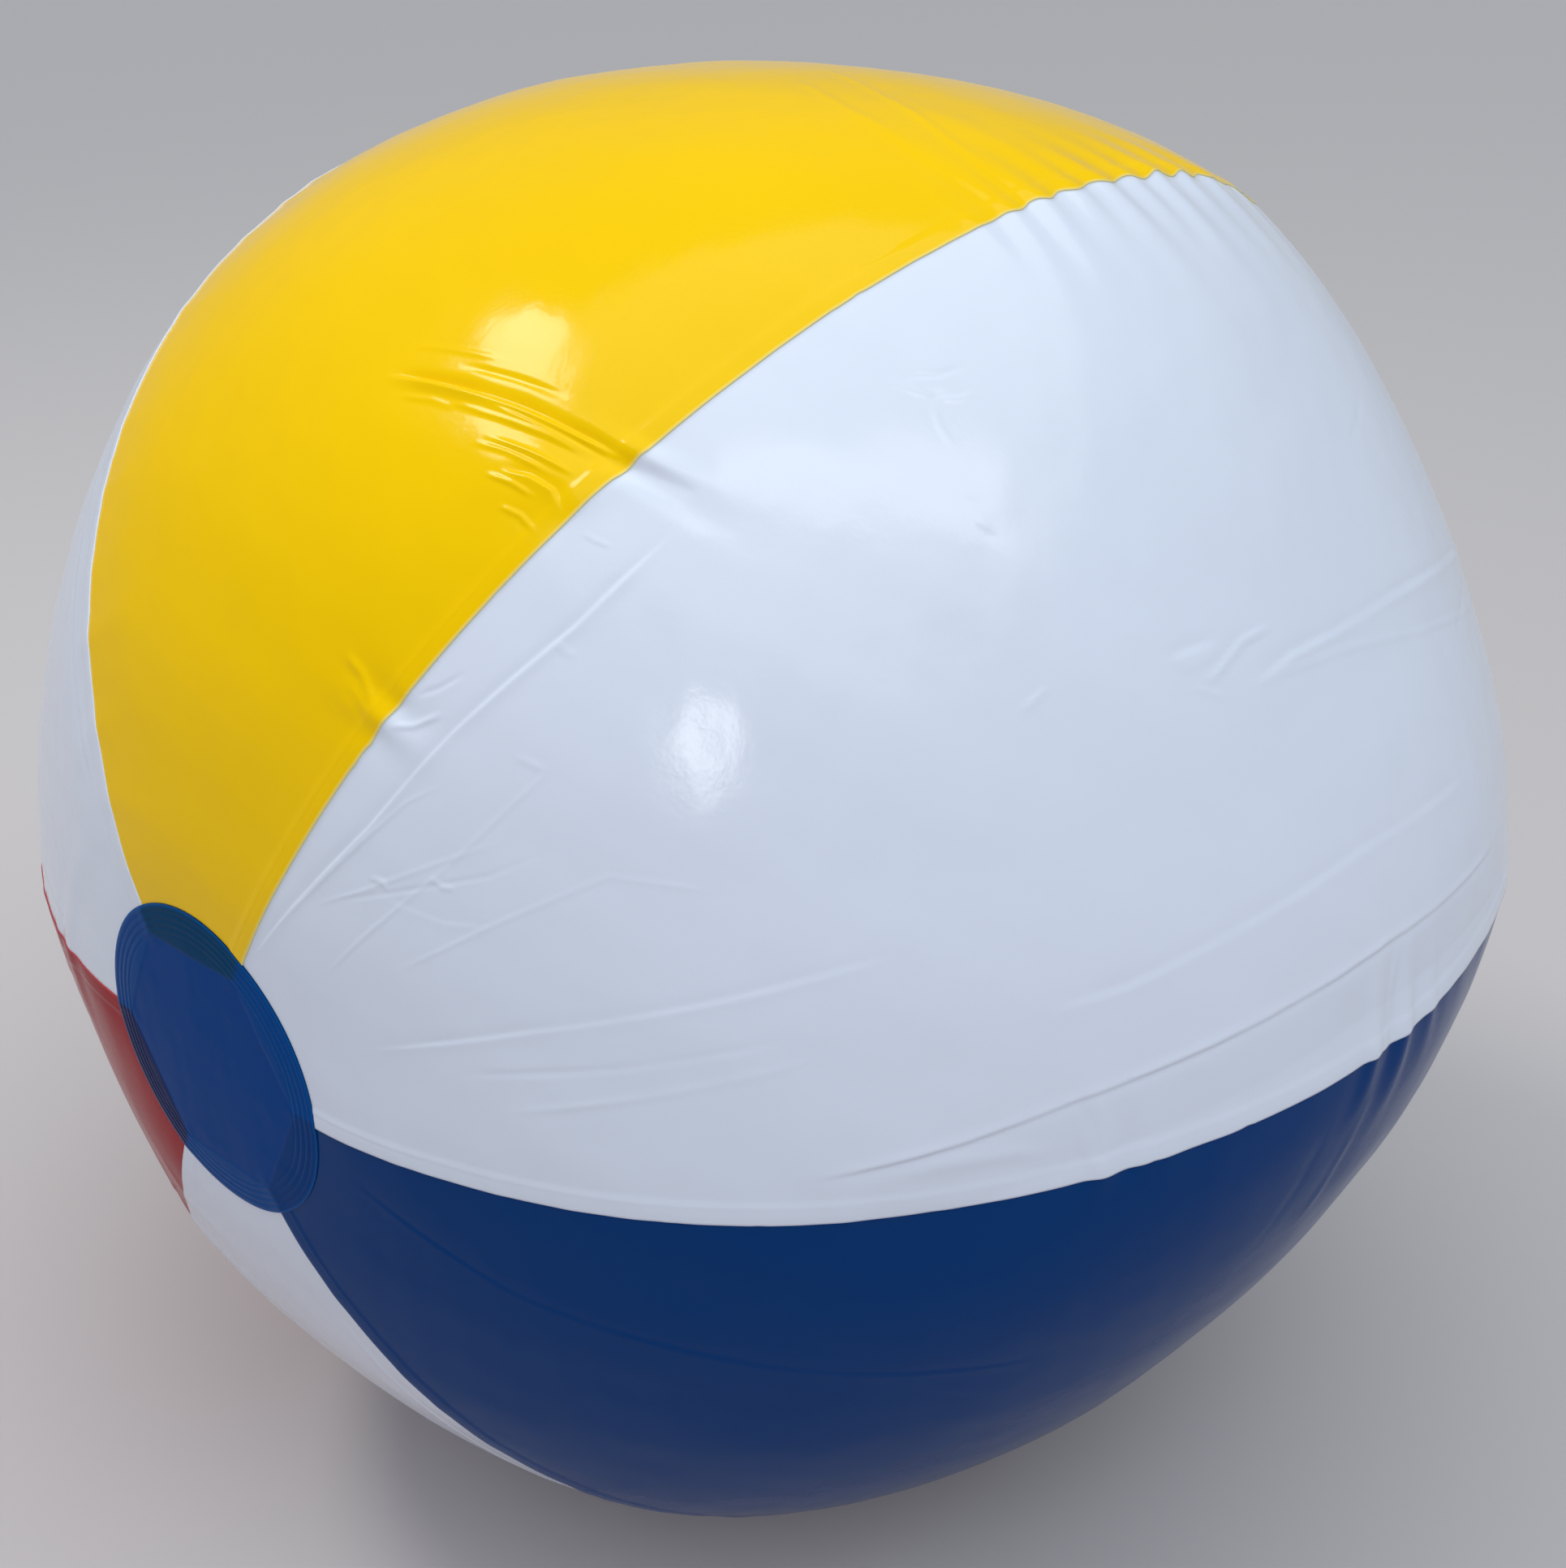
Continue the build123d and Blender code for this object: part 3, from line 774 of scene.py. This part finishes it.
def build_valve():
    """All pieces of the valve by node name; outlines are (r, z) or (x, z) in valve millimetres."""
    made = {}

    def drape(x, y, z):
        return x, y, z + film_level(x, y)

    # weld flange under the film; its inner lip shows in the hole
    ring = [(10.4, -0.45), (11.6, -0.42), (12.6, -0.56), (18.9, -0.56), (18.9, -1.2), (10.4, -1.25)]
    ring = fillet(ring, 0.22)
    made["valve_flange"] = lathe("visual_valve_flange", ring, 128, drape)

    # soft funnel with fold rings, from the flange down to the stem's foot
    top_r, foot_r = 11.7, 6.1
    top_z, foot_z = -1.15, -15.1
    fold_rings = 4
    outer, inner = [], []
    for t in np.linspace(0, 1, 40):
        bulge = math.sin(math.pi * t)
        r = top_r + (foot_r - top_r) * (t + 0.05 * bulge)
        r += 0.16 * math.cos(2 * math.pi * fold_rings * t) * bulge
        z = top_z + (foot_z - top_z) * t
        thick = 0.62 - 0.2 * bulge
        outer.append((r, z))
        inner.append((r - thick, z))

    def skirt_shape(x, y, z):
        share = np.clip((z - foot_z) / (top_z - foot_z), 0, 1)
        return x, y, z + film_level(x, y) * share

    made["valve_skirt"] = lathe("visual_valve_skirt", outer + inner[::-1], 112, skirt_shape)

    # stem: rolled mouth rim, straight tube, foot
    mouth = [(3.5, -2.05), (5.0, -2.05), (5.0, -4.2), (4.8, -4.6)]
    tube_foot = [(4.8, -13.6), (5.0, foot_z), (6.3, -15.25), (6.3, -15.98), (3.5, -15.98)]
    stem = fillet(mouth + tube_foot, [0.3, 0.35, 0.2, 0.2, 0.3, 0.3, 0.25, 0.25, 0.2])
    made["valve_stem"] = lathe("visual_valve_stem", stem, 96)

    # strap on the stem with its knuckle
    knuckle = 0.72
    bar = [(4.6, -3.3), (7.7, -3.2)]
    bar += arc_outline(knuckle, -50, 180, 16, hinge_x, hinge_z)
    bar += [(7.4, -2.42), (4.6, -2.45)]
    made["plug_strap"] = prism("visual_plug_strap", bar, -1.0, 1.0, "y", 0.12)

    # plug: domed cap, tapered nub with a sealing bead, pull tab and hinge ears
    nub = [(0.0, -6.5), (2.2, -6.5), (2.5, -6.2), (2.62, -5.6), (3.3, -3.2), (3.42, -2.9)]
    nub += [(3.32, -2.6), (3.36, -2.0)]
    cap = [(5.3, -1.98), (5.6, -1.7), (5.6, -0.9), (5.25, -0.5), (4.6, -0.4), (4.2, -0.52)]
    cap += [(2.2, -0.46), (0.0, -0.42)]
    plug = lathe("visual_valve_plug", nub + cap, 96)
    tab = (
        [(-3.2, -2.1), (-3.2, 2.1), (-6.8, 2.1)]
        + arc_outline(2.45, 100, 260, 18, -6.55, 0.0)
        + [(-6.8, -2.1)]
    )
    pieces = [prism("tab", tab, -1.86, -0.86, "z", 0.28)]
    for x in (-6.4, -7.3, -8.2):
        rib = [(x - 0.18, -1.0), (x + 0.18, -1.0), (x + 0.12, -0.68), (x - 0.12, -0.68)]
        pieces.append(prism("rib", rib, -1.6, 1.6, "y", 0.06))
    for side in (-1, 1):
        ear = [(3.8, -1.95), (7.6, -1.92)]
        ear += arc_outline(knuckle, -60, 150, 16, hinge_x, hinge_z)
        ear += [(7.5, -1.0), (3.8, -0.9)]
        a, b = sorted((side * 1.12, side * 2.28))
        pieces.append(prism("ear", ear, a, b, "y", 0.12))
    made["valve_plug"] = joined(plug, *pieces)

    # check flap: thin disc with a raised rim and its hinge tab
    flap = [(0.0, -16.02), (4.2, -16.02), (4.45, -16.06), (4.55, -16.2)]
    flap += [(4.45, -16.36), (4.1, -16.4), (3.6, -16.36), (0.0, -16.38)]
    disc = lathe("visual_check_flap", flap, 72)
    tab = [(3.6, -1.3), (4.9, -1.3), (4.9, 1.3), (3.6, 1.3)]
    made["check_flap"] = joined(disc, prism("flap_tab", tab, -16.38, -16.04, "z", 0.1))
    return made


def cut_valve_hole(panel):
    """Round hole in the film around the valve."""
    hole_radius, reach = 12.0, 8.0
    outline = [(0.0, reach), (hole_radius, reach), (hole_radius, -reach), (0.0, -reach)]
    cutter = lathe("cutter", outline, 160)
    mod = panel.modifiers.new("hole", "BOOLEAN")
    mod.operation = "DIFFERENCE"
    mod.solver = "EXACT"
    mod.object = cutter
    apply_modifiers(panel)
    bpy.data.objects.remove(cutter)


# ------------------------------------------------------------------ materials
def new_material(name):
    """Material, its node tree and its shader."""
    mat = bpy.data.materials.new(name)
    mat.use_nodes = True
    tree = mat.node_tree
    shader = tree.nodes["Principled BSDF"]
    return mat, tree, shader


def vinyl(name, colour, rough, shine_level, tint=None, mottling=0.05, edge_highlight=None):
    """Glossy calendered film: slight mottling, uneven gloss and a fine orange peel.

    tint names a colour attribute used instead of the colour; the last argument gives a paler colour
    painted along the cut edge as a highlight.
    """
    mat, tree, shader = new_material(name)
    nodes, links = tree.nodes, tree.links

    def add(kind, **values):
        node = nodes.new(kind)
        for key, value in values.items():
            if key in node.inputs:
                node.inputs[key].default_value = value
            else:
                setattr(node, key, value)
        return node

    coord = add("ShaderNodeTexCoord")
    cloud = add("ShaderNodeTexNoise", Scale=11.0, Detail=4.0, Roughness=0.55)
    links.new(coord.outputs["Object"], cloud.inputs["Vector"])
    fine = add("ShaderNodeTexNoise", Scale=900.0, Detail=2.0)
    links.new(coord.outputs["Object"], fine.inputs["Vector"])
    if tint is None:
        base = add("ShaderNodeRGB")
        base.outputs[0].default_value = (*colour, 1)
        base_out = base.outputs[0]
    else:
        base = add("ShaderNodeAttribute", attribute_name=tint)
        base_out = base.outputs["Color"]
    hsv = add("ShaderNodeHueSaturation")
    value = add("ShaderNodeMapRange")
    value.inputs["To Min"].default_value = 1 - mottling
    value.inputs["To Max"].default_value = 1 + mottling
    links.new(cloud.outputs["Fac"], value.inputs["Value"])
    links.new(base_out, hsv.inputs["Color"])
    links.new(value.outputs[0], hsv.inputs["Value"])
    painted = hsv.outputs["Color"]
    # paler colour on the cut edge: painted highlight
    if edge_highlight is not None:
        cut = add("ShaderNodeAttribute", attribute_name="painted_edge_highlight")
        mix = add("ShaderNodeMixRGB")
        mix.inputs["Color2"].default_value = (*edge_highlight, 1)
        links.new(cut.outputs["Fac"], mix.inputs["Fac"])
        links.new(painted, mix.inputs["Color1"])
        painted = mix.outputs["Color"]
    links.new(painted, shader.inputs["Base Color"])
    shine = add("ShaderNodeMapRange")
    shine.inputs["To Min"].default_value = rough * 0.8
    shine.inputs["To Max"].default_value = rough * 1.25
    patch = add("ShaderNodeTexNoise", Scale=38.0, Detail=5.0, Roughness=0.6)
    links.new(coord.outputs["Object"], patch.inputs["Vector"])
    links.new(patch.outputs["Fac"], shine.inputs["Value"])
    links.new(shine.outputs[0], shader.inputs["Roughness"])
    peel = add("ShaderNodeBump", Strength=0.08, Distance=0.0002)
    links.new(fine.outputs["Fac"], peel.inputs["Height"])
    swell = add("ShaderNodeTexNoise", Scale=120.0, Detail=3.0)
    links.new(coord.outputs["Object"], swell.inputs["Vector"])
    wave = add("ShaderNodeBump", Strength=0.16, Distance=0.0006)
    links.new(swell.outputs["Fac"], wave.inputs["Height"])
    links.new(peel.outputs["Normal"], wave.inputs["Normal"])
    links.new(wave.outputs["Normal"], shader.inputs["Normal"])
    shader.inputs["IOR"].default_value = 1.5
    shader.inputs["Specular IOR Level"].default_value = shine_level
    return mat


SLOTS = {
    "panel_yellow": "yellow_vinyl",
    "panel_white_right": "white_vinyl",
    "panel_blue": "blue_vinyl",
    "panel_white_bottom": "white_vinyl",
    "panel_red": "red_vinyl",
    "panel_white_left": "white_vinyl",
}
# the last colours of the yellow, blue and red films are painted highlights along their cut edges
MATERIALS = {
    "yellow_vinyl": vinyl(
        "yellow_vinyl", (0.900, 0.545, 0.0003), 0.13, shine_level=0.11, edge_highlight=(0.86, 0.74, 0.30)
    ),
    "white_vinyl": vinyl("white_vinyl", (0.705, 0.740, 0.865), 0.15, mottling=0.02, shine_level=0.34),
    "blue_vinyl": vinyl(
        "blue_vinyl", (0.0002, 0.038, 0.175), 0.17, shine_level=0.05, edge_highlight=(0.03, 0.10, 0.30)
    ),
    "red_vinyl": vinyl(
        "red_vinyl", (0.340, 0.0006, 0.0060), 0.17, shine_level=0.03, edge_highlight=(0.42, 0.06, 0.07)
    ),
    "disc_vinyl": vinyl("disc_vinyl", None, 0.20, tint="underlay_glow_highlight", shine_level=0.02),
    "valve_vinyl": vinyl("valve_vinyl", (0.640, 0.680, 0.720), 0.30, shine_level=0.45),
}


def finish_piece(obj, node, body, slot):
    """Gives a piece its material, hides the CAD part of the node it stands for and, where it has one,
    puts it on its body.
    """
    obj.data.materials.clear()
    obj.data.materials.append(MATERIALS[slot])
    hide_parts(node)
    if body:
        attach(obj, body)


for node, middle in PANELS.items():
    panel = build_panel(node, middle)
    if node == "panel_white_left":
        cut_valve_hole(panel)
    finish_piece(panel, node, "ball", SLOTS[node])
for node, side in (("end_disc_front", -1), ("end_disc_back", 1)):
    disc = build_disc(node, side)
    finish_piece(disc, node, "ball", "disc_vinyl")
valve = build_valve()
for node, body in (
    ("valve_flange", "ball"),
    ("valve_stem", "stem"),
    ("plug_strap", "stem"),
    ("valve_plug", "plug"),
    ("check_flap", "flap"),
    ("valve_skirt", None),
):
    finish_piece(valve[node], node, body, "valve_vinyl")
# the skirt is put on no body: the points at its top and foot are found but not used, and its place is
# baked into its mesh
start = Vector(valve_point(0, 0, -1.6))
end = Vector(valve_point(0, 0, -15.0))
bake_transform(valve["valve_skirt"])

# ------------------------------------------------------------------ floor
bpy.ops.mesh.primitive_grid_add(
    x_subdivisions=8, y_subdivisions=8, size=24, location=(0, 0, floor_z)
)
floor = bpy.context.object
floor.name = "floor"
mat, tree, shader = new_material("floor")
shader.inputs["Base Color"].default_value = (0.54, 0.49, 0.50, 1)
shader.inputs["Roughness"].default_value = 0.85
floor.data.materials.append(mat)


# ------------------------------------------------------------------ light
def soft_light(
    name, azimuth, elevation, distance, width, height, radiance, colour, roll=0.0, shape="RECTANGLE"
):
    """Flat lamp aimed at the ball, with angles in degrees and lengths in metres.

    Azimuth 0 is at -Y and turns towards +X. Radiance sets how bright the lamp's mirror image is.
    """
    data = bpy.data.lights.new(name, "AREA")
    data.shape = shape
    data.size = width
    data.size_y = height
    data.energy = radiance * math.pi * width * height
    data.color = colour
    lamp = bpy.data.objects.new(name, data)
    a, e = math.radians(azimuth), math.radians(elevation)
    away = Vector((math.sin(a) * math.cos(e), -math.cos(a) * math.cos(e), math.sin(e)))
    lamp.location = away * distance
    turn = Matrix.Rotation(math.radians(roll), 4, "Z")
    lamp.rotation_euler = (away.to_track_quat("Z", "Y").to_matrix().to_4x4() @ turn).to_euler()
    bpy.context.scene.collection.objects.link(lamp)


soft_light("window_right", 78, 54, 1.7, 1.20, 0.30, 3.4, (0.90, 0.97, 1.0), roll=-24)
soft_light("lamp_front", 38, 26, 1.5, 0.17, 0.22, 9.0, (1.0, 1.0, 1.0), shape="ELLIPSE")
soft_light("window_left", -62, 59.5, 1.7, 0.62, 0.30, 14.0, (1.0, 0.98, 0.92), shape="ELLIPSE")

sun_data = bpy.data.lights.new("overhead", "SUN")
sun_data.energy = 1.95
sun_data.angle = math.radians(85)
sun_data.color = (0.86, 0.97, 1.0)
overhead = bpy.data.objects.new("overhead", sun_data)
overhead.rotation_euler = Vector((0.24, -0.06, 1.0)).to_track_quat("Z", "Y").to_euler()
bpy.context.scene.collection.objects.link(overhead)

world = bpy.data.worlds.new("studio")
bpy.context.scene.world = world
world.use_nodes = True
tree = world.node_tree
background = tree.nodes["Background"]
where = tree.nodes.new("ShaderNodeTexCoord")
split = tree.nodes.new("ShaderNodeSeparateXYZ")
ramp = tree.nodes.new("ShaderNodeValToRGB")
tree.links.new(where.outputs["Generated"], split.inputs[0])
tree.links.new(split.outputs["Z"], ramp.inputs["Fac"])
tree.links.new(ramp.outputs["Color"], background.inputs["Color"])
# a pale band at the horizon continues the floor, with a calmer sky over it
sky = (
    (0.0, (0.41, 0.41, 0.42)),
    (0.05, (0.40, 0.40, 0.41)),
    (0.28, (0.21, 0.22, 0.23)),
    (1.0, (0.20, 0.23, 0.25)),
)
while len(ramp.color_ramp.elements) < len(sky):
    ramp.color_ramp.elements.new(0.5)
for element, (place, colour) in zip(ramp.color_ramp.elements, sky):
    element.position = place
    element.color = (*colour, 1)

# ------------------------------------------------------------------ camera
distance_in_radii = 2.897
right = Vector((0.7458, 0.6656, -0.0285)).normalized()
forward = Vector((-0.6068, 0.6611, -0.4414)).normalized()
up = right.cross(forward).normalized()
right = forward.cross(up).normalized()
camera_data = bpy.data.cameras.new("camera")
camera_data.lens = 45.3
camera_data.sensor_width = 36
camera_data.shift_x = 0.0089
camera_data.shift_y = -0.0091
camera_data.clip_start = 0.01
camera = bpy.data.objects.new("camera", camera_data)
axes = Matrix((right, up, -forward)).transposed().to_4x4()
camera.matrix_world = Matrix.Translation(-forward * distance_in_radii * mean_radius) @ axes
bpy.context.scene.collection.objects.link(camera)
bpy.context.scene.camera = camera
bpy.context.scene.view_settings.view_transform = "Standard"
